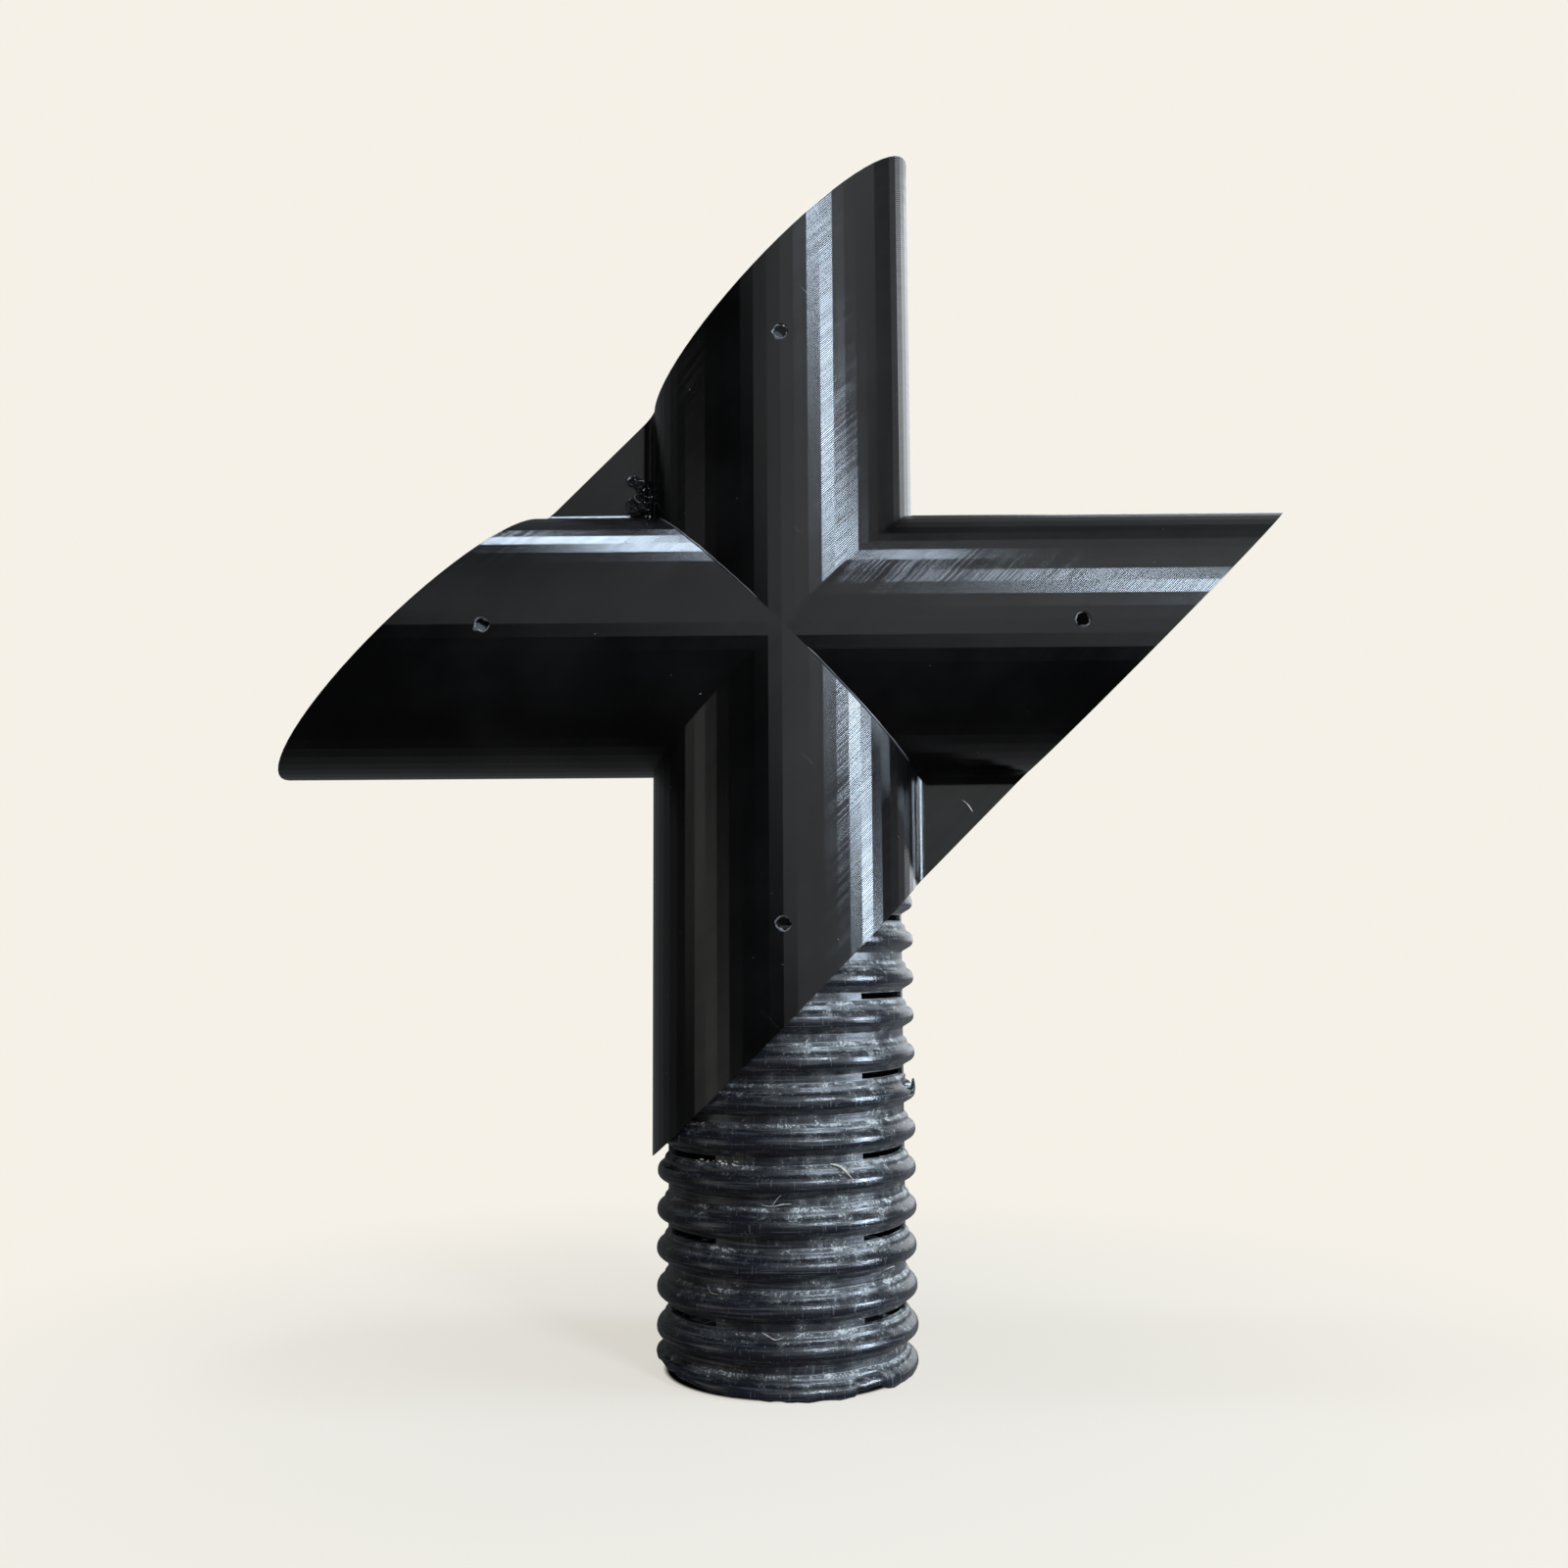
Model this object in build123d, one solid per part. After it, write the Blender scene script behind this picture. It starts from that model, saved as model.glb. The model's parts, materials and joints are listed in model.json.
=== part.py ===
from build123d import *
import os

# Four-way pipe cross, printed in one piece, standing on a length of slotted corrugated pipe.
# Millimetres. +Z runs up the pipe, the front faces -Y, and the origin is the centre of the pipe's lower end.

# Corrugated pipe
pipe_outer_radius = 25.0
pipe_length = 110.0
pipe_wall = 0.7
corrugation_pitch = 7.2
corrugation_depth = 2.4
valley_width = 1.7
flank_rise = 1.2
flank_run = 0.35
first_valley_height = 5.0

# Drainage slots, cut in every second valley in three rows round the pipe
slot_width = 1.1
slot_length_deg = 38.0
slot_row_degs = (57.0, 180.0, -53.0)
valleys_per_slot = 2

# Cross
socket_clearance = 0.1
socket_wall = 0.5
facet_count = 64
cut_offset = 72.8
ledge_width = 2.7
ledge_thickness = 2.0
web_thickness = 2.4
web_fillet = 2.5
screw_hole_radius = 1.5
screw_hole_distance = 54.6

# Sizes that follow from the ones above
valley_radius = pipe_outer_radius - corrugation_depth
socket_radius = pipe_outer_radius + socket_clearance
arm_radius = socket_radius + socket_wall
ledge_radius = socket_radius - ledge_width
socket_floor = arm_radius + ledge_thickness
centre_height = pipe_length + socket_floor
arm_reach = cut_offset + arm_radius
web_root = arm_radius - socket_wall / 2
sin_45 = 0.5 ** 0.5

# Cutting tools reach this far past what they cut, and run on for this many pitches above the pipe
over_cut = 2.0
spare_pitches = 3
block_side = 6 * arm_reach

centre = Pos(0, 0, centre_height)
front_angle = -90.0


def wave_edges(inset, start, pitches):
    """Edges of one corrugated outline in the XZ plane, moved inwards by inset."""
    floor_half = valley_width / 2 + inset
    floor_x = valley_radius - inset
    shoulder_x = floor_x + flank_rise
    crest_x = pipe_outer_radius - inset
    run = flank_run
    edges = []
    for index in range(pitches):
        valley_z = start + index * corrugation_pitch
        floor_low = Vector(floor_x, 0, valley_z - floor_half)
        floor_high = Vector(floor_x, 0, valley_z + floor_half)
        crest_z = valley_z + corrugation_pitch / 2
        shoulder_low = Vector(shoulder_x, 0, valley_z + floor_half + run)
        shoulder_high = Vector(shoulder_x, 0, 2 * crest_z - shoulder_low.Z)
        next_floor = Vector(floor_x, 0, valley_z + corrugation_pitch - floor_half)
        edges.append(Line(floor_low, floor_high))
        edges.append(Line(floor_high, shoulder_low))
        edges.append(ThreePointArc(shoulder_low, Vector(crest_x, 0, crest_z), shoulder_high))
        edges.append(Line(shoulder_high, next_floor))
    return edges


def make_slots():
    """Cutters for the drainage slots, one flat wedge for each."""
    slot_pitch = valleys_per_slot * corrugation_pitch
    first_slot = first_valley_height + corrugation_pitch
    slot_rings = int((pipe_length - first_slot) / slot_pitch) + 1
    reach = pipe_outer_radius + over_cut
    cutters = []
    for ring in range(slot_rings):
        height = first_slot + ring * slot_pitch
        for row_deg in slot_row_degs:
            middle_deg = front_angle + row_deg
            wedge = Cylinder(reach, slot_width, arc_size=slot_length_deg)
            turned = Rot(0, 0, middle_deg - slot_length_deg / 2) * wedge
            cutters.append(Pos(0, 0, height) * turned)
    return cutters


def make_pipe():
    """Thin corrugated wall with its slots, cut square at both ends."""
    start = first_valley_height - corrugation_pitch
    pitches = int(pipe_length / corrugation_pitch) + spare_pitches
    outer = wave_edges(0, start, pitches)
    inner = wave_edges(pipe_wall, start, pitches)
    low_cap = Line(inner[0] @ 0, outer[0] @ 0)
    high_cap = Line(inner[-1] @ 1, outer[-1] @ 1)
    section = make_face(Curve() + outer + inner + [low_cap, high_cap])
    wall = revolve(section, Axis.Z)
    length = Pos(0, 0, pipe_length / 2) * Box(block_side, block_side, pipe_length)
    return (wall & length) - make_slots()


def along_x(shape):
    return Rot(0, 90, 0) * shape


def web_fillet_section():
    """Section through the fillets along one side of a web, from inside the tube's wall to the web."""
    centre_y = web_thickness / 2 + web_fillet
    centre_x = ((arm_radius + web_fillet) ** 2 - centre_y**2) ** 0.5
    fillet_centre = Vector(centre_x, -centre_y)
    on_tube = fillet_centre * (arm_radius / (arm_radius + web_fillet))
    on_web = Vector(centre_x, -web_thickness / 2)
    inwards = (on_tube - fillet_centre) + (on_web - fillet_centre)
    middle = fillet_centre + inwards.normalized() * web_fillet
    in_wall = fillet_centre * (web_root / (arm_radius + web_fillet))
    root = Vector(web_root, 0)
    web_plane = Vector(centre_x, 0)
    outline = [
        ThreePointArc(on_web, middle, on_tube),
        Line(on_tube, in_wall),
        Line(in_wall, root),
        Line(root, web_plane),
        Line(web_plane, on_web),
    ]
    half = make_face(Curve() + outline)
    return half + mirror(half, Plane.XZ)


def make_web():
    """Flat plate in the lower right corner, with fillets where it meets both tubes."""
    web_reach = cut_offset - arm_radius
    web_side = web_reach - web_root
    web_middle = (web_reach + web_root) / 2
    plate = Pos(web_middle, 0, -web_middle) * Box(web_side, web_thickness, web_side)
    upright = Pos(0, 0, -web_reach) * extrude(web_fillet_section(), web_side)
    level = upright.rotate(Axis((0, 0, 0), (1, 0, -1)), 180)
    return plate + upright + level


def make_outside():
    """Two faceted tubes that cross, with both webs, trimmed by two parallel planes at 45 degrees."""
    polygon = RegularPolygon(arm_radius, facet_count)
    prism = extrude(polygon, arm_reach, both=True)
    web = make_web()
    solid = prism + along_x(prism) + web + Rot(0, 180, 0) * web
    slab = Box(block_side, block_side, 2 * cut_offset * sin_45)
    return solid & (Rot(0, -45, 0) * slab)


def make_inside():
    """Everything hollow: both bores with a stop ledge at each socket's floor, and the screw holes."""
    passage = Cylinder(ledge_radius, 2 * arm_reach)
    hub = Cylinder(socket_radius, 2 * arm_radius)
    socket_depth = arm_reach - socket_floor
    socket = Cylinder(socket_radius, socket_depth)
    socket_middle = socket_floor + socket_depth / 2
    tube = passage + hub + Pos(0, 0, socket_middle) * socket + Pos(0, 0, -socket_middle) * socket
    hole = Rot(90, 0, 0) * Cylinder(screw_hole_radius, socket_wall + 2 * over_cut)
    wall_middle = arm_radius - socket_wall / 2
    screw_holes = []
    for side in (-1, 1):
        offset = side * screw_hole_distance
        screw_holes.append(Pos(offset, -wall_middle, 0) * hole)
        screw_holes.append(Pos(0, -wall_middle, offset) * hole)
    return [tube, along_x(tube)] + screw_holes


def make_cross():
    return centre * (make_outside() - make_inside())


os.makedirs("parts", exist_ok=True)
nodes = {
    "slotted_pipe": make_pipe(),
    "cross_fitting": make_cross(),
}
for name, shape in nodes.items():
    export_step(shape, f"parts/{name}.step")
    box = shape.bounding_box()
    print(name, len(shape.solids()), "solid", round(shape.volume), "mm3", box.min, box.max)
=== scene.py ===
import json
import random
from math import atan2, cos, degrees, hypot, pi, radians, sin, sqrt, tan

import bmesh
import bpy
from mathutils import Matrix, Vector, noise


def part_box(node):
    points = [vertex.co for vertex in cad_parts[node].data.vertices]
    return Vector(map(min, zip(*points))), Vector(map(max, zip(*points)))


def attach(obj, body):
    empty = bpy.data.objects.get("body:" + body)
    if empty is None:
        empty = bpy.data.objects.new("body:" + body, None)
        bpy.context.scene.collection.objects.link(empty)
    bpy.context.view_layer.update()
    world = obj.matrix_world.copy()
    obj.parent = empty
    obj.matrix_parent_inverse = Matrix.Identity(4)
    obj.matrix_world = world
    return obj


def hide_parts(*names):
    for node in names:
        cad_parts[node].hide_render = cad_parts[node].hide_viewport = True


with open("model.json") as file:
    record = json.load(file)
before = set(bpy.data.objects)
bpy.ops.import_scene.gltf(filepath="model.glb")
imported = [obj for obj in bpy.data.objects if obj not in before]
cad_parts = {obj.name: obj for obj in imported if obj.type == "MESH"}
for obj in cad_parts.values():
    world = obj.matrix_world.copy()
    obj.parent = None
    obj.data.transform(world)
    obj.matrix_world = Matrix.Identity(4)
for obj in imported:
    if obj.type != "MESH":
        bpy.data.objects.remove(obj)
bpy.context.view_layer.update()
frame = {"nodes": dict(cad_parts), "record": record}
mm = 0.001
tiny = 1e-6

# Places and sizes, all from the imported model
pipeLow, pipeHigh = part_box("slotted_pipe")
crossLow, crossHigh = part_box("cross_fitting")
mounts = {mount["name"]: mount for mount in frame["record"]["mounts"]}
hub = Vector((0, 0, mounts["screw_holes"]["pos_m"][2]))
armRadius = crossHigh.y
screwDistance = mounts["screw_holes"]["dims"]["pcd_mm"] / 2 * mm
screwRadius = mounts["screw_holes"]["dims"]["hole_r_mm"] * mm
pipeRadius = pipeHigh.x
pipeBore = mounts["pipe_bore"]["dims"]["r_mm"] * mm
print(
    "frame: hub at", round(hub.z, 4), "arm radius", round(armRadius, 4),
    "pipe radius", round(pipeRadius, 4),
)


# Camera, lights and floor

cameraLook = {
    "besideHub": 0.0033,
    "inFront": 0.3026,
    "belowHub": 0.0575,
    "turnDeg": -0.635,
    "tiltDeg": 5.734,
    "rollDeg": -0.348,
    "fieldDeg": 53.667,
}


def makeCamera(look):
    camera = bpy.data.objects.new("camera", bpy.data.cameras.new("camera"))
    bpy.context.scene.collection.objects.link(camera)
    turn, tilt, roll = (radians(look[key]) for key in ("turnDeg", "tiltDeg", "rollDeg"))
    ahead = Vector((sin(turn) * cos(tilt), cos(turn) * cos(tilt), sin(tilt)))
    level = ahead.cross(Vector((0, 0, 1))).normalized()
    upright = level.cross(ahead)
    right = level * cos(roll) + upright * sin(roll)
    up = upright * cos(roll) - level * sin(roll)
    facing = Matrix((right, up, -ahead)).transposed()
    place = hub + Vector((look["besideHub"], -look["inFront"], -look["belowHub"]))
    camera.matrix_world = Matrix.Translation(place) @ facing.to_4x4()
    camera.data.lens = camera.data.sensor_width / 2 / tan(radians(look["fieldDeg"]) / 2)
    camera.data.clip_start = 0.01
    bpy.context.scene.camera = camera


makeCamera(cameraLook)
bpy.context.scene.view_settings.view_transform = "Standard"

studio = {
    "background": (0.913, 0.880, 0.807),
    "backgroundStrength": 1.0,
    "roomColour": (0.92, 0.96, 1.0),
    "roomStrength": 0.018,
    "roomBehind": 0.08,
    "roomBehindEdge": (0.05, 0.6),
    "roomBehindRight": 0.24,
    "roomRightEdge": (-0.1, 0.6),
    "floorColour": (0.52, 0.50, 0.455),
    "floorGlow": 0.72,
    "floorRadius": 3.0,
    "floorSegments": 96,
    "floorFade": (0.03, 0.22),
    "underPipeShadeColour": (0.02, 0.02, 0.02),
    "underPipeEdge": (0.95, 0.90),
}

# bearing is degrees to the right of the front, height and twist degrees, and size and away are metres
windowColour = (0.70, 0.84, 1.0)
lights = {
    "windowLight": {
        "bearing": 33, "height": 29, "away": 1.3, "size": (0.24, 0.24),
        "power": 17, "colour": windowColour,
    },
    "sideLight": {
        "bearing": 72, "height": -1, "away": 0.62, "size": (0.14, 0.14),
        "power": 4.6, "colour": windowColour,
    },
    "overLight": {
        "bearing": -65, "height": 83, "away": 0.45, "size": (0.08, 0.08),
        "power": 1.5, "colour": windowColour,
    },
    "roomPanel": {
        "bearing": 34, "height": 34, "away": 0.9, "size": (1.45, 1.9), "twist": -45,
        "power": 7.0, "colour": (0.97, 0.99, 1.0),
    },
    "leftFill": {
        "bearing": -68, "height": -4, "away": 1.2, "size": (0.5, 0.5),
        "power": 0.8, "colour": (1.0, 0.97, 0.93),
    },
    "backLight": {
        "bearing": 150, "height": 14, "away": 1.4, "size": (0.9, 0.9),
        "power": 3.5, "colour": (0.9, 0.95, 1.0),
    },
}


def makeLight(name, light):
    lamp = bpy.data.lights.new(name, "AREA")
    lamp.shape = "RECTANGLE"
    lamp.size, lamp.size_y = light["size"]
    lamp.energy = light["power"]
    lamp.color = light["colour"]
    bearing, height = radians(light["bearing"]), radians(light["height"])
    outwards = Vector((sin(bearing) * cos(height), -cos(bearing) * cos(height), sin(height)))
    holder = bpy.data.objects.new(name, lamp)
    holder.location = hub + outwards * light["away"]
    twist = Matrix.Rotation(radians(light.get("twist", 0)), 3, "Z")
    holder.rotation_euler = (outwards.to_track_quat("Z", "Y").to_matrix() @ twist).to_euler()
    holder.visible_camera = False
    bpy.context.scene.collection.objects.link(holder)


for lightName, lightFacts in lights.items():
    makeLight(lightName, lightFacts)
print("camera and", len(lights), "lights placed")


# Shader maths: a Wire is one output of a node, and + - * / on it add Math nodes

class Wire:
    def __init__(self, graph, socket):
        self.graph = graph
        self.socket = socket

    def maths(self, operation, *values):
        return self.graph.add("ShaderNodeMath", {"operation": operation}, dict(enumerate(values)))

    def __add__(self, other):
        return self.maths("ADD", self, other)

    def __sub__(self, other):
        return self.maths("SUBTRACT", self, other)

    def __rsub__(self, other):
        return self.maths("SUBTRACT", other, self)

    def __mul__(self, other):
        return self.maths("MULTIPLY", self, other)

    def __truediv__(self, other):
        return self.maths("DIVIDE", self, other)

    def __rtruediv__(self, other):
        return self.maths("DIVIDE", other, self)

    def __pow__(self, other):
        return self.maths("POWER", self, other)

    __radd__ = __add__
    __rmul__ = __mul__


class Graph:
    def __init__(self, owner):
        owner.use_nodes = True
        self.tree = owner.node_tree
        self.tree.nodes.clear()

    def add(self, kind, settings, values, output=0):
        node = self.tree.nodes.new(kind)
        for name, setting in settings.items():
            setattr(node, name, setting)
        for key, value in values.items():
            if isinstance(value, Wire):
                self.tree.links.new(value.socket, node.inputs[key])
            else:
                node.inputs[key].default_value = value
        return Wire(self, node.outputs[output]) if len(node.outputs) else None

    def place(self):
        return self.add("ShaderNodeTexCoord", {}, {}, "Object")

    def split(self, vector):
        parts = self.add("ShaderNodeSeparateXYZ", {}, {0: vector})
        return [Wire(self, parts.socket.node.outputs[index]) for index in range(3)]

    def join(self, x, y, z):
        return self.add("ShaderNodeCombineXYZ", {}, {0: x, 1: y, 2: z})

    def noise(self, vector, scale, detail=2.0, rough=0.5):
        values = {"Vector": vector, "Scale": scale, "Detail": detail, "Roughness": rough}
        return self.add("ShaderNodeTexNoise", {}, values)

    # 0 below low, 1 above high and smooth between; low may be the greater
    def step(self, value, low, high):
        settings = {"interpolation_type": "SMOOTHSTEP"}
        return self.add("ShaderNodeMapRange", settings, {"Value": value, "From Min": low, "From Max": high})

    def mix(self, factor, low, high):
        return self.add("ShaderNodeMix", {"data_type": "RGBA"}, {0: factor, 6: low, 7: high}, 2)

    def bump(self, height, depth):
        return self.add("ShaderNodeBump", {}, {"Height": height, "Distance": depth})

    def surface(self, values):
        shader = self.add("ShaderNodeBsdfPrincipled", {}, values)
        self.add("ShaderNodeOutputMaterial", {}, {"Surface": shader})


def newMaterial(name):
    material = bpy.data.materials.new(name)
    return material, Graph(material)


# Black printed plastic: layer lines run parallel to the slanted cuts

printedLook = {
    "layered": True,
    "layerHeight": 0.0003,
    "layerDepth": 0.000023,
    "layerLeast": 0.76,
    "layerVaries": 0.34,
    "sway": 0.4,
    "swayScale": 55,
    "mottleScale": 42,
    "fineScale": 1900,
    "fineRelief": 0.12,
    "plainRelief": 0.3,
    "beadRelief": 0.20,
    "beadScales": (0.30, 130),
    "scratchScales": (700, 34, 300),
    "scratchEdge": (0.71, 0.80),
    "scratchWear": 0.6,
    "speckScale": 1500,
    "speckEdge": (0.82, 0.86),
    "speckPatches": (0.45, 0.6),
    "wornEdge": (0.35, 0.75),
    "colour": (0.0010, 0.0010, 0.0011, 1),
    "worn": (0.0034, 0.0034, 0.0036, 1),
    "dust": (0.20, 0.20, 0.19, 1),
    "roughness": 0.165,
    "mottleRough": 0.10,
    "layerRough": 0.05,
    "scratchRough": 0.15,
    "speckRough": 0.4,
    "ior": 1.49,
}
strandLook = dict(printedLook, layered=False, roughness=0.24, colour=(0.013, 0.013, 0.014, 1))
# The burr grey is lighter than the body: partly stress-whitened plastic, partly a painted glint where the
# seam bead and the hole lips catch the light
burrWithGlintLook = dict(
    printedLook, layered=False, roughness=0.30,
    colour=(0.022, 0.023, 0.025, 1), worn=(0.10, 0.105, 0.11, 1),
)
tornLook = dict(
    printedLook, layered=False, roughness=0.5,
    colour=(0.0015, 0.0015, 0.0016, 1), worn=(0.003, 0.003, 0.003, 1),
)


# A layer's edge bulges, so its height over a surface is an arch, and every layer differs a little
def makePrinted(name, look):
    material, graph = newMaterial(name)
    place = graph.place()
    x, y, z = graph.split(place)
    sway = graph.noise(place, look["swayScale"], 2) * look["sway"]
    across = (z - x - hub.z) * (1 / sqrt(2)) / look["layerHeight"] + sway
    part = across.maths("FRACT", across)
    arch = part * (1 - part) * 4
    count = across.maths("FLOOR", across)
    layer = graph.add("ShaderNodeTexWhiteNoise", {"noise_dimensions": "1D"}, {"W": count})
    mottle = graph.noise(place, look["mottleScale"], 3, 0.55)
    fine = graph.noise(place, look["fineScale"], 2, 0.6)
    perLayer, perMetre = look["beadScales"]
    bead = graph.noise(graph.join(across * perLayer, (x + z) * perMetre, y * perMetre), 1.0, 2)
    along, down, deep = look["scratchScales"]
    scratched = graph.noise(graph.join((x + z) * along, (z - x) * down, y * deep), 1.0, 2, 0.6)
    scratch = graph.step(scratched, *look["scratchEdge"])
    patches = graph.step(mottle, *look["speckPatches"])
    specks = graph.step(graph.noise(place, look["speckScale"], 1), *look["speckEdge"]) * patches
    if look["layered"]:
        bulge = arch * (layer * look["layerVaries"] + look["layerLeast"])
        height = bulge + bead * look["beadRelief"] + fine * look["fineRelief"]
    else:
        height = fine * look["plainRelief"] + mottle
    wear = graph.step(mottle, *look["wornEdge"]) + scratch * look["scratchWear"]
    rough = (mottle - 0.5) * look["mottleRough"] + (layer - 0.5) * look["layerRough"] + look["roughness"]
    graph.surface({
        "Base Color": graph.mix(specks, graph.mix(wear, look["colour"], look["worn"]), look["dust"]),
        "Roughness": rough + scratch * look["scratchRough"] + specks * look["speckRough"],
        "Normal": graph.bump(height, look["layerDepth"]),
        "IOR": look["ior"],
    })
    return material


# Black polyethylene pipe: satin, with scuffs that run round it and chalky dust in blotches and valleys;
# what faces up is painted paler, partly settled dust and partly painted light from above, and the pipe is
# paler towards one side

pipeLook = {
    "colour": (0.0075, 0.0080, 0.0105, 1),
    "scuffed": (0.050, 0.054, 0.062, 1),
    "chalkAndPaintedLight": (0.33, 0.34, 0.33, 1),
    "roughness": 0.21,
    "blotchRough": 0.22,
    "scuffRough": 0.12,
    "chalkAndLightRough": 0.4,
    "lowRough": 0.1,
    "ior": 1.52,
    "bandScales": (85, 2600),
    "bandEdge": (0.52, 0.66),
    "bandScuff": 0.5,
    "tickScales": (2300, 300),
    "tickEdge": (0.62, 0.70),
    "tickScuff": 0.6,
    "blotchScale": 330,
    "grainScale": 2600,
    "dentScale": 260,
    "palerSideBearing": 70,
    "sideEdge": (0.1, 0.95),
    "palerSideShare": 0.30,
    "upEdge": (0.05, 0.7),
    "upLightAndDust": 0.50,
    "lowDepths": (0.0008, 0.0022),
    "lowDust": 0.5,
    "film": {"dustAndPaintedLight": 0.30, "blotch": 0.75, "grain": 0.30, "edge": (0.50, 0.80), "cover": 0.14},
    "thickCoat": {"dustAndPaintedLight": 0.28, "blotch": 0.85, "grain": 0.90, "edge": (0.75, 0.865), "cover": 0.86},
    "relief": {"bands": 0.6, "ticks": 0.3, "grain": 0.35, "dents": 1.3, "chalkAndPaintedLight": 0.4},
    "reliefDepth": 0.00010,
}


def makePipePlastic(name, look):
    material, graph = newMaterial(name)
    place = graph.place()
    x, y, z = graph.split(place)
    radius = (x * x + y * y) ** 0.5
    facing = graph.split(graph.add("ShaderNodeNewGeometry", {}, {}, "Normal"))[2]
    # The pipe is made paler towards this bearing
    dustySide = radians(look["palerSideBearing"])
    towards = (x * sin(dustySide) - y * cos(dustySide)) / pipeRadius
    around, upwards = look["bandScales"]
    bands = graph.noise(graph.join(x * around, y * around, z * upwards), 1.0, 3, 0.6)
    around, upwards = look["tickScales"]
    ticks = graph.noise(graph.join(x * around, y * around, z * upwards), 1.0, 2)
    blotch = graph.noise(place, look["blotchScale"], 4, 0.7)
    grain = graph.noise(place, look["grainScale"], 3, 0.75)
    dents = graph.noise(place, look["dentScale"], 2, 0.5)
    shallow, deep = look["lowDepths"]
    low = graph.step(radius, pipeRadius - shallow, pipeRadius - deep)
    # Pale-coat mask: what faces up is partly settled dust and partly painted light from above; there is
    # dust in the valleys, and the pipe is paler towards one side
    dustAndPaintedLight = (
        graph.step(facing, *look["upEdge"]) * look["upLightAndDust"] + low * look["lowDust"]
        + graph.step(towards, *look["sideEdge"]) * look["palerSideShare"]
    )

    def covered(coat):
        amount = dustAndPaintedLight * coat["dustAndPaintedLight"] + blotch * coat["blotch"] + (grain - 0.5) * coat["grain"]
        return graph.step(amount, *coat["edge"]) * coat["cover"]

    # The pale coat is chalky dust in blotches, with painted light on what faces up
    chalkAndPaintedLight = covered(look["film"]) + covered(look["thickCoat"])
    scuffedBands = graph.step(bands, *look["bandEdge"]) * look["bandScuff"]
    scuff = scuffedBands + graph.step(ticks, *look["tickEdge"]) * look["tickScuff"]
    relief = look["relief"]
    height = (
        bands * relief["bands"] + ticks * relief["ticks"] + grain * relief["grain"]
        + dents * relief["dents"] + chalkAndPaintedLight * relief["chalkAndPaintedLight"]
    )
    graph.surface({
        "Base Color": graph.mix(chalkAndPaintedLight, graph.mix(scuff, look["colour"], look["scuffed"]), look["chalkAndPaintedLight"]),
        "Roughness": (
            (blotch - 0.5) * look["blotchRough"] + scuff * look["scuffRough"]
            + chalkAndPaintedLight * look["chalkAndLightRough"] + low * look["lowRough"] + look["roughness"]
        ),
        "Normal": graph.bump(height, look["reliefDepth"]),
        "IOR": look["ior"],
    })
    return material


lintLook = {
    "colour": (0.50, 0.48, 0.42, 1),
    "shade": (0.26, 0.25, 0.22, 1),
    "roughness": 0.7,
    "grainScale": 900,
    "grainEdge": (0.35, 0.65),
    "grainDepth": 0.00003,
}


def makeLint(name, look):
    material, graph = newMaterial(name)
    grain = graph.noise(graph.place(), look["grainScale"], 3, 0.6)
    graph.surface({
        "Base Color": graph.mix(graph.step(grain, *look["grainEdge"]), look["shade"], look["colour"]),
        "Roughness": look["roughness"],
        "Normal": graph.bump(grain, look["grainDepth"]),
    })
    return material


printedBlack = makePrinted("printedBlack", printedLook)
printedStrand = makePrinted("printedStrand", strandLook)
printedBurrGlint = makePrinted("printedBurrGlint", burrWithGlintLook)
printedTorn = makePrinted("printedTorn", tornLook)
pipeBlack = makePipePlastic("pipeBlack", pipeLook)
lintFibre = makeLint("lintFibre", lintLook)
print("materials made:", len(bpy.data.materials))


# Pale floor with its own soft glow, so the object's shadow on it stays light, and a painted shade: the
# floor inside the pipe's foot is dark
def makeFloor(look):
    bm = bmesh.new()
    bmesh.ops.create_circle(bm, cap_ends=True, segments=look["floorSegments"], radius=look["floorRadius"])
    mesh = bpy.data.meshes.new("floor")
    bm.to_mesh(mesh)
    bm.free()
    floor = bpy.data.objects.new("floor", mesh)
    bpy.context.scene.collection.objects.link(floor)
    floor.visible_glossy = False
    material, graph = newMaterial("paleFloor")
    x, y, z = graph.split(graph.place())
    radius = (x * x + y * y) ** 0.5
    far = graph.step(radius, *look["floorFade"])
    plain = graph.add("ShaderNodeBsdfDiffuse", {}, {"Color": (*look["floorColour"], 1)})
    glowValues = {"Color": (*look["background"], 1), "Strength": look["backgroundStrength"]}
    glow = graph.add("ShaderNodeEmission", {}, glowValues)
    glowing = far * (1 - look["floorGlow"]) + look["floorGlow"]
    both = graph.add("ShaderNodeMixShader", {}, {0: glowing, 1: plain, 2: glow})
    # Painted shade: the floor inside the pipe's foot is dark
    shade = graph.add("ShaderNodeBsdfDiffuse", {}, {"Color": (*look["underPipeShadeColour"], 1)})
    outer, inner = look["underPipeEdge"]
    underPipe = graph.step(radius, pipeRadius * outer, pipeRadius * inner)
    whole = graph.add("ShaderNodeMixShader", {}, {0: underPipe, 1: both, 2: shade})
    graph.add("ShaderNodeOutputMaterial", {}, {"Surface": whole})
    mesh.materials.append(material)


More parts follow.
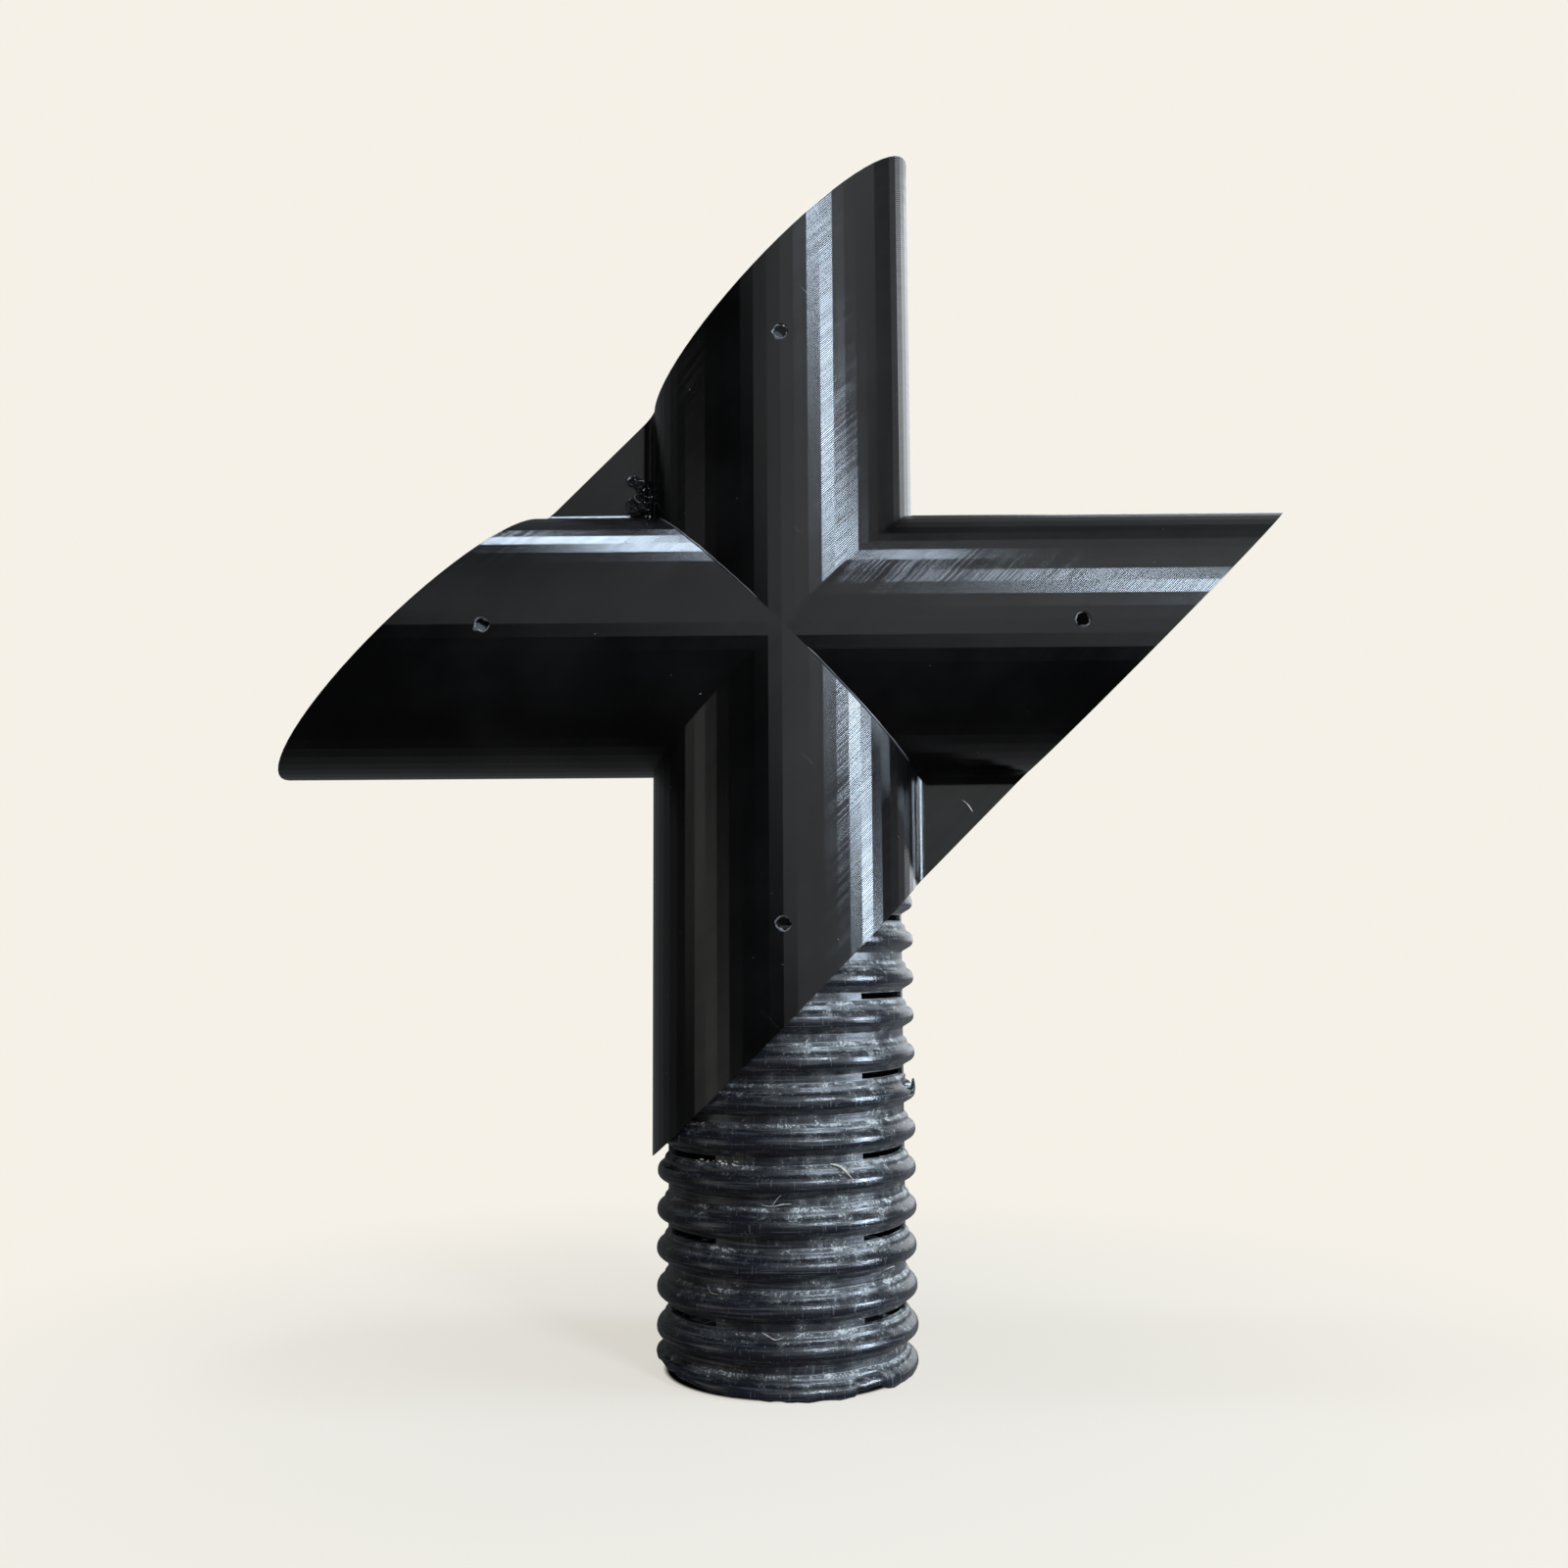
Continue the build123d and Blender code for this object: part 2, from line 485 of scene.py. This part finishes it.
# The backdrop is pale where it is seen, and in reflections a dim room with a paler right side behind
def makeWorld(look):
    world = bpy.data.worlds.new("studioWorld")
    bpy.context.scene.world = world
    graph = Graph(world)
    x, y, z = graph.split(graph.add("ShaderNodeTexCoord", {}, {}, "Generated"))
    rightSide = graph.step(x, *look["roomRightEdge"]) * look["roomBehindRight"]
    behind = graph.step(y, *look["roomBehindEdge"]) * (rightSide + look["roomBehind"])
    seenValues = {0: (*look["background"], 1), 1: look["backgroundStrength"]}
    seen = graph.add("ShaderNodeBackground", {}, seenValues)
    roomValues = {0: (*look["roomColour"], 1), 1: behind + look["roomStrength"]}
    room = graph.add("ShaderNodeBackground", {}, roomValues)
    isCamera = graph.add("ShaderNodeLightPath", {}, {}, "Is Camera Ray")
    both = graph.add("ShaderNodeMixShader", {}, {0: isCamera, 1: room, 2: seen})
    graph.add("ShaderNodeOutputWorld", {}, {"Surface": both})


makeFloor(studio)
makeWorld(studio)
print("floor and backdrop made")


# Pieces

def finishPiece(bm, name, body, material, smoothDeg=35):
    bmesh.ops.remove_doubles(bm, verts=bm.verts, dist=tiny)
    bmesh.ops.recalc_face_normals(bm, faces=bm.faces)
    for face in bm.faces:
        face.smooth = True
    for edge in bm.edges:
        edge.smooth = len(edge.link_faces) == 2 and edge.calc_face_angle(0) < radians(smoothDeg)
    mesh = bpy.data.meshes.new(name)
    bm.to_mesh(mesh)
    bm.free()
    mesh.materials.append(material)
    piece = bpy.data.objects.new(name, mesh)
    bpy.context.scene.collection.objects.link(piece)
    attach(piece, body)
    print("piece", name, len(mesh.polygons), "faces")
    return piece


def bearingOf(point):
    return degrees(atan2(point.x, -point.y))


def ringPoint(bearing, radius, height):
    return Vector((sin(radians(bearing)) * radius, -cos(radians(bearing)) * radius, height))


# A corner is metres down from a valley's middle, metres out from the valley's floor, and its rounding
pipeShape = {
    "segments": 160,
    "pitch": 0.0072,
    "spareValleys": 3,
    "firstValley": 0.0050,
    "valleyRadius": 0.0226,
    "ridge": [
        (0.00085, 0.0, 0.00015),
        (0.00148, 0.00072, 0.00022),
        (0.00230, 0.00082, 0.00030),
        (0.00292, 0.00195, 0.00045),
        (0.00413, 0.00240, 0.00060),
        (0.00520, 0.00205, 0.00050),
        (0.00636, 0.0, 0.00015),
    ],
    "inside": [
        (0.00125, 0.0, 0.0002),
        (0.00275, 0.00165, 0.0004),
        (0.00418, 0.00205, 0.0006),
        (0.00515, 0.00165, 0.0004),
        (0.00598, 0.0, 0.0002),
    ],
    "slotHalfWidth": 0.00055,
    "slotDeg": 38,
    "slotRows": (57, 180, -53),
    "opening": {"reach": 0.6, "spareDeg": 0},
    "rim": {"reach": 1.5, "spareDeg": 6},
    "waver": {
        "size": 0.00030, "inwards": 1.2, "upwards": 0.8, "endFade": 0.004,
        "scales": (34, 70), "upScale": 0.6, "upShift": (9, 3, 1),
    },
    "tear": {
        "bearing": 84, "halfDeg": 15, "top": 0.0547, "bottom": 0.0511,
        "left": 0.0002, "jag": 0.0004, "jagScales": (0.35, 900),
    },
    "foot": {
        "band": 0.0046, "slope": 0.0016, "lowestBearing": 15, "side": 0.0022, "sideBearing": -88,
        "rough": 0.00045, "roughShift": 0.3, "roughScale": 9,
        "notch": 0.0011, "notchFrom": 30, "notchTo": 47,
    },
}


def roundedOutline(bm, shape, corners, baseRadius):
    valleyCount = int((pipeHigh.z - shape["firstValley"]) / shape["pitch"]) + shape["spareValleys"]
    strip = shape["slotHalfWidth"]
    points = []
    for index in range(valleyCount):
        valley = shape["firstValley"] + (index - 1) * shape["pitch"]
        nextValley = valley + shape["pitch"]
        ridgeAbove = [(nextValley - down, out, rounding) for down, out, rounding in reversed(corners)]
        points += [(valley - strip, 0, 0), (valley + strip, 0, 0)] + ridgeAbove
    previous = None
    byRounding = {}
    for height, out, rounding in points:
        vert = bm.verts.new((baseRadius + out, 0, height))
        if previous:
            bm.edges.new((previous, vert))
            byRounding.setdefault(rounding, []).append(vert)
        previous = vert
    for rounding, verts in byRounding.items():
        if rounding:
            bmesh.ops.bevel(
                bm, geom=verts, offset=rounding, offset_type="OFFSET", affect="VERTICES",
                segments=2, profile=0.5, material=-1,
            )


# Both sides of the wall as one closed outline, cut level at the pipe's ends and turned round its axis
def turnedWall(shape):
    bm = bmesh.new()
    roundedOutline(bm, shape, shape["ridge"], shape["valleyRadius"])
    roundedOutline(bm, shape, shape["inside"], pipeBore)
    for height, normal in ((pipeLow.z, (0, 0, -1)), (pipeHigh.z, (0, 0, 1))):
        bmesh.ops.bisect_plane(
            bm, geom=bm.verts[:] + bm.edges[:], dist=1e-7,
            plane_co=(0, 0, height), plane_no=normal, clear_outer=True,
        )
        bm.edges.new([vert for vert in bm.verts if abs(vert.co.z - height) < tiny])
    bmesh.ops.spin(
        bm, geom=bm.verts[:] + bm.edges[:], cent=(0, 0, 0), axis=(0, 0, 1), angle=2 * pi,
        steps=shape["segments"], use_merge=True,
    )
    return bm


def slotHeights(shape):
    height = shape["firstValley"] + shape["pitch"]
    while height < pipeHigh.z:
        yield height
        height += 2 * shape["pitch"]


def apart(bearing, other):
    return abs((bearing - other + 180) % 360 - 180)


# The slot whose zone a point lies in, or None
def slotAt(point, shape, zone):
    for height in slotHeights(shape):
        if abs(point.z - height) < shape["slotHalfWidth"] * zone["reach"]:
            for row in shape["slotRows"]:
                if apart(bearingOf(point), row) < shape["slotDeg"] / 2 + zone["spareDeg"]:
                    return round(height, 6), row
    return None


# Each slot's outer and inner edges are joined, so the wall's thickness closes it
def openSlots(bm, shape):
    doomed = [face for face in bm.faces if slotAt(face.calc_center_median(), shape, shape["opening"])]
    bmesh.ops.delete(bm, geom=doomed, context="FACES")
    rims = {}
    for edge in bm.edges:
        if edge.is_boundary:
            slot = slotAt((edge.verts[0].co + edge.verts[1].co) / 2, shape, shape["rim"])
            if slot:
                rims.setdefault(slot, []).append(edge)
    for rim in rims.values():
        bmesh.ops.bridge_loops(bm, edges=rim)


# How far the cut end stands above the floor, round the pipe
def footLift(bearing, foot):
    slope = foot["slope"] * (1 - cos(radians(bearing - foot["lowestBearing"]))) / 2
    side = foot["side"] * max(0, cos(radians(bearing - foot["sideBearing"]))) ** 2
    across, along = (turned(radians(bearing)) * foot["roughScale"] for turned in (cos, sin))
    rough = foot["rough"] * (noise.noise(Vector((across, along, 4.0))) + foot["roughShift"])
    notch = foot["notch"] if foot["notchFrom"] < bearing < foot["notchTo"] else 0
    return max(0, slope + side + rough + notch)


def weather(bm, shape):
    waver, tear, foot = (shape[key] for key in ("waver", "tear", "foot"))
    around, upwards = waver["scales"]
    alongTear, upTear = tear["jagScales"]
    for vert in bm.verts:
        point = vert.co
        bearing = bearingOf(point)
        radius = hypot(point.x, point.y)
        rise = max(0, min(1, (radius - pipeBore) / (pipeRadius - pipeBore)))
        spot = Vector((point.x * around, point.y * around, point.z * upwards))
        inwards = waver["size"] * rise * (0.5 + 0.5 * noise.noise(spot)) * waver["inwards"]
        ends = max(0, min(1, point.z / waver["endFade"], (pipeHigh.z - point.z) / waver["endFade"]))
        upNoise = noise.noise(spot * waver["upScale"] + Vector(waver["upShift"]))
        lift = waver["size"] * waver["upwards"] * upNoise * ends
        if apart(bearing, tear["bearing"]) < tear["halfDeg"] and tear["bottom"] < point.z < tear["top"]:
            jag = tear["jag"] * noise.noise(Vector((bearing * alongTear, point.z * upTear, 2)))
            inwards = max(inwards, radius - (shape["valleyRadius"] + tear["left"] + jag))
        if point.z < foot["band"]:
            raised = footLift(bearing, foot)
            point.z = raised + point.z * (1 - raised / foot["band"])
        scale = (radius - inwards) / radius
        vert.co = Vector((point.x * scale, point.y * scale, max(pipeLow.z, point.z + lift)))


def makePipe(shape):
    bm = turnedWall(shape)
    openSlots(bm, shape)
    weather(bm, shape)
    pipe = finishPiece(bm, "corrugatedPipe", "pipe", pipeBlack, 50)
    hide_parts("slotted_pipe")


makePipe(pipeShape)


# The skin's radius at a height, before its wear
def skinRadius(height, shape):
    down = (shape["firstValley"] - height) % shape["pitch"]
    corners = [(0, 0)] + [(drop, out) for drop, out, rounding in shape["ridge"]] + [(shape["pitch"], 0)]
    for (drop, out), (nextDrop, nextOut) in zip(corners, corners[1:]):
        if down <= nextDrop:
            return shape["valleyRadius"] + out + (nextOut - out) * (down - drop) / (nextDrop - drop)


# A thin round strand through the points, finer at its tips
def addStrand(bm, points, radius, tip=0.35):
    curve = bpy.data.curves.new("strand", "CURVE")
    curve.dimensions = "3D"
    curve.bevel_depth = radius
    curve.bevel_resolution = 1
    curve.resolution_u = 3
    curve.use_fill_caps = True
    spline = curve.splines.new("NURBS")
    spline.points.add(len(points) - 1)
    for spot, point in zip(spline.points, points):
        spot.co = (*point, 1)
    spline.points[0].radius = tip
    spline.points[-1].radius = tip
    spline.order_u = 3
    spline.use_endpoint_u = True
    holder = bpy.data.objects.new("strand", curve)
    mesh = bpy.data.meshes.new_from_object(holder)
    bm.from_mesh(mesh)
    bpy.data.objects.remove(holder)
    bpy.data.curves.remove(curve)
    bpy.data.meshes.remove(mesh)


# Fibres and crumbs stuck to the pipe: a fibre's radius and its points' bearing, height and stand-off in mm
lintShape = {
    "fibres": [
        (0.00024, [(20.5, 40.3, 0.1), (23.5, 40.2, 0.5), (26.5, 39.2, 0.6), (28.5, 37.8, 0.2)]),
        (0.00009, [(-10.7, 33.4, 0.1), (-6.0, 33.0, 0.3), (-1.0, 33.7, 0.3), (2.7, 33.6, 0.1)]),
        (0.00008, [(-6.0, 33.0, 0.2), (-4.5, 34.4, 0.4), (-2.0, 35.2, 0.1)]),
        (0.00009, [(-10.9, 11.5, 0.1), (-7.0, 10.9, 0.3), (-4.5, 10.3, 0.2), (-0.9, 10.9, 0.1)]),
        (0.00008, [(49.0, 20.5, 0.1), (52.5, 21.7, 0.5), (54.5, 20.9, 0.1)]),
        (0.00007, [(-38.0, 18.6, 0.1), (-35.5, 17.2, 0.3), (-31.0, 17.6, 0.1)]),
        (0.00008, [(118.0, 29.0, 0.1), (124.0, 28.1, 0.4), (128.0, 29.2, 0.1)]),
        (0.00008, [(-150.0, 29.5, 0.1), (-146.0, 30.6, 0.4), (-141.0, 30.1, 0.1)]),
    ],
    "crumbs": 16,
    "crumbBearings": (-47, -22),
    "crumbHeights": (0.0401, 0.0408),
    "crumbSize": (0.00012, 0.00030),
    "crumbLength": (0.8, 2.2),
    "crumbFlatness": (0.5, 0.9),
}


def makeLintFibres(shape):
    bm = bmesh.new()
    for radius, marks in shape["fibres"]:
        points = []
        for bearing, height, off in marks:
            level = height * mm
            points.append(ringPoint(bearing, skinRadius(level, pipeShape) + off * mm, level))
        addStrand(bm, points, radius)
    rng = random.Random(5)
    for crumb in range(shape["crumbs"]):
        bearing = rng.uniform(*shape["crumbBearings"])
        level = rng.uniform(*shape["crumbHeights"])
        size = rng.uniform(*shape["crumbSize"])
        lump = bmesh.ops.create_icosphere(bm, subdivisions=1, radius=size)["verts"]
        stretch = (rng.uniform(*shape["crumbLength"]), 1, rng.uniform(*shape["crumbFlatness"]))
        bmesh.ops.scale(bm, vec=stretch, verts=lump)
        turn = Matrix.Rotation(radians(bearing), 3, "Z")
        bmesh.ops.rotate(bm, cent=(0, 0, 0), matrix=turn, verts=lump)
        bmesh.ops.translate(bm, vec=ringPoint(bearing, skinRadius(level, pipeShape), level), verts=lump)
    finishPiece(bm, "lintFibres", "pipe", lintFibre, 60)


makeLintFibres(lintShape)

# A chip of the torn ridge that still stands up from it: points of bearing, height and stand-off in mm
flakeShape = {
    "radius": 0.00042,
    "tip": 0.5,
    "underRidge": 0.0006,
    "marks": [(80, 50.6, -0.4), (83, 51.4, 0.3), (86, 52.5, 0.9), (88, 53.4, 0.8)],
}


def makeRidgeFlake(shape):
    bm = bmesh.new()
    base = skinRadius(shape["marks"][0][1] * mm, pipeShape)
    points = []
    for bearing, height, off in shape["marks"]:
        reach = min(base + off * mm, pipeRadius - shape["underRidge"])
        points.append(ringPoint(bearing, reach, height * mm))
    addStrand(bm, points, shape["radius"], shape["tip"])
    finishPiece(bm, "ridgeFlake", "pipe", pipeBlack, 60)


makeRidgeFlake(flakeShape)

# Fine bead of squeezed plastic along the two sharp seams at the front, from near the hub's middle outwards
seamShape = {
    "radius": 0.00017,
    "wander": 0.00010,
    "wanderScale": 900,
    "from": 0.0046,
    "to": 0.0238,
    "step": 0.0008,
    "standOff": 0.00007,
}


def makeSeamBurr(shape):
    bm = bmesh.new()
    count = int((shape["to"] - shape["from"]) / shape["step"]) + 1
    for side in (-1, 1):
        points = []
        for index in range(count):
            out = shape["from"] + index * shape["step"]
            spot = Vector((out * shape["wanderScale"], side * 4, 0))
            wander = shape["wander"] * noise.noise(spot)
            front = -shape["standOff"] - sqrt(armRadius**2 - out**2)
            points.append(Vector((side * out + wander, front, hub.z - side * out + wander)))
        addStrand(bm, points, shape["radius"])
    finishPiece(bm, "seamBurr", "head", printedBurrGlint, 60)


makeSeamBurr(seamShape)

# The webs' front face
webFront = -0.0012

# Loose curls of fine string on the upper left web; lift and drift are in proportion to a curl's size
stringShape = {
    "count": 26,
    "radius": 0.00012,
    "tip": 0.6,
    "middle": (-0.0284, 0.0306),
    "spread": (0.0021, 0.0033),
    "loop": 0.0011,
    "loopSizes": (0.5, 1.0),
    "turns": (0.7, 1.6),
    "steps": 9,
    "lift": 1.1,
    "driftRight": 0.8,
    "driftDown": 0.6,
}


def makeWebStrings(shape):
    bm = bmesh.new()
    rng = random.Random(11)
    for string in range(shape["count"]):
        reaches = zip(shape["middle"], shape["spread"])
        middle = [centre + rng.uniform(-1, 1) * reach for centre, reach in reaches]
        start = rng.uniform(0, 2 * pi)
        turns = rng.uniform(*shape["turns"]) * 2 * pi
        size = shape["loop"] * rng.uniform(*shape["loopSizes"])
        points = []
        for index in range(shape["steps"]):
            along = index / (shape["steps"] - 1)
            angle = start + turns * along
            lift = sin(along * pi) * size * shape["lift"]
            x = middle[0] + cos(angle) * size + along * size * shape["driftRight"]
            z = middle[1] + sin(angle) * size - along * size * shape["driftDown"]
            points.append(Vector((x, webFront - lift, hub.z + z)))
        addStrand(bm, points, shape["radius"], shape["tip"])
    finishPiece(bm, "webStrings", "head", printedStrand, 60)


makeWebStrings(stringShape)

# One pale fibre lying on the lower right web: points across and up from the hub, and stand-off, in mm
fibreShape = {
    "radius": 0.00010,
    "marks": [(34.7, -30.6, 0.1), (35.6, -31.3, 0.3), (36.2, -32.2, 0.3), (36.7, -33.0, 0.1)],
}


def makeWebFibre(shape):
    bm = bmesh.new()
    points = []
    for across, up, off in shape["marks"]:
        points.append(hub + Vector((across, 0, up)) * mm + Vector((0, webFront - off * mm, 0)))
    addStrand(bm, points, shape["radius"])
    finishPiece(bm, "webFibre", "head", lintFibre, 60)


makeWebFibre(fibreShape)

# Rough lips round the four screw holes, and a thin torn skin behind the upper and left ones
holeShape = {
    "lipRadius": 0.00023,
    "lipInset": 0.4,
    "lipSegments": 7,
    "lipRough": 0.00055,
    "lipRoughScale": 1400,
    "lipRoughShares": (1, -0.2, 0.7),
    "lipBehind": 0.00012,
    "lipSunk": 0.00048,
    "ringSteps": 30,
    "skinRadius": 0.0023,
    "skinTaper": 0.9,
    "skinSegments": 24,
    "skinDepth": 0.0016,
    "skinThick": 0.0002,
    "skinTilt": 24,
}


def holePlace(across, up):
    return Vector((across * screwDistance, crossLow.y, hub.z + up * screwDistance))


def makeHoleLips(shape):
    bm = bmesh.new()
    for across, up in ((0, 1), (-1, 0), (1, 0), (0, -1)):
        place = holePlace(across, up)
        before = set(bm.verts)
        circle = bmesh.ops.create_circle(bm, segments=shape["lipSegments"], radius=shape["lipRadius"])
        ring = circle["verts"]
        lipMiddle = screwRadius - shape["lipRadius"] * shape["lipInset"]
        bmesh.ops.translate(bm, vec=(lipMiddle, 0, 0), verts=ring)
        loop = [edge for edge in bm.edges if edge.verts[0] not in before]
        bmesh.ops.spin(
            bm, geom=ring + loop, cent=(0, 0, 0), axis=(0, 1, 0), angle=2 * pi,
            steps=shape["ringSteps"], use_merge=True,
        )
        lip = [vert for vert in bm.verts if vert not in before]
        sideways, forwards, upwards = shape["lipRoughShares"]
        for vert in lip:
            rough = shape["lipRough"] * noise.noise(vert.co * shape["lipRoughScale"] + place * 300)
            upRight = (vert.co.x + vert.co.z) / hypot(vert.co.x, vert.co.z) / sqrt(2)
            sunk = shape["lipBehind"] + shape["lipSunk"] * (1 + upRight) / 2
            vert.co += Vector((rough * sideways, sunk + abs(rough) * forwards, rough * upwards))
        bmesh.ops.translate(bm, vec=place, verts=lip)
    finishPiece(bm, "holeLips", "head", printedBurrGlint, 60)


def makeHoleSkins(shape):
    bm = bmesh.new()
    upright = Matrix.Rotation(radians(90), 3, "X")
    tilt = Matrix.Rotation(radians(shape["skinTilt"]), 3, Vector((-1, 0, 1)))
    for across, up in ((0, 1), (-1, 0)):
        skin = bmesh.ops.create_cone(
            bm, cap_ends=True, cap_tris=False, segments=shape["skinSegments"], radius1=shape["skinRadius"],
            radius2=shape["skinRadius"] * shape["skinTaper"], depth=shape["skinThick"],
        )["verts"]
        for turn in (upright, tilt):
            bmesh.ops.rotate(bm, cent=(0, 0, 0), matrix=turn, verts=skin)
        place = holePlace(across, up) + Vector((0, shape["skinDepth"], 0))
        bmesh.ops.translate(bm, vec=place, verts=skin)
    finishPiece(bm, "holeSkins", "head", printedTorn, 35)


makeHoleLips(holeShape)
makeHoleSkins(holeShape)

cross = frame["nodes"]["cross_fitting"]
cross.data.materials.clear()
cross.data.materials.append(printedBlack)
print("cross has its material")
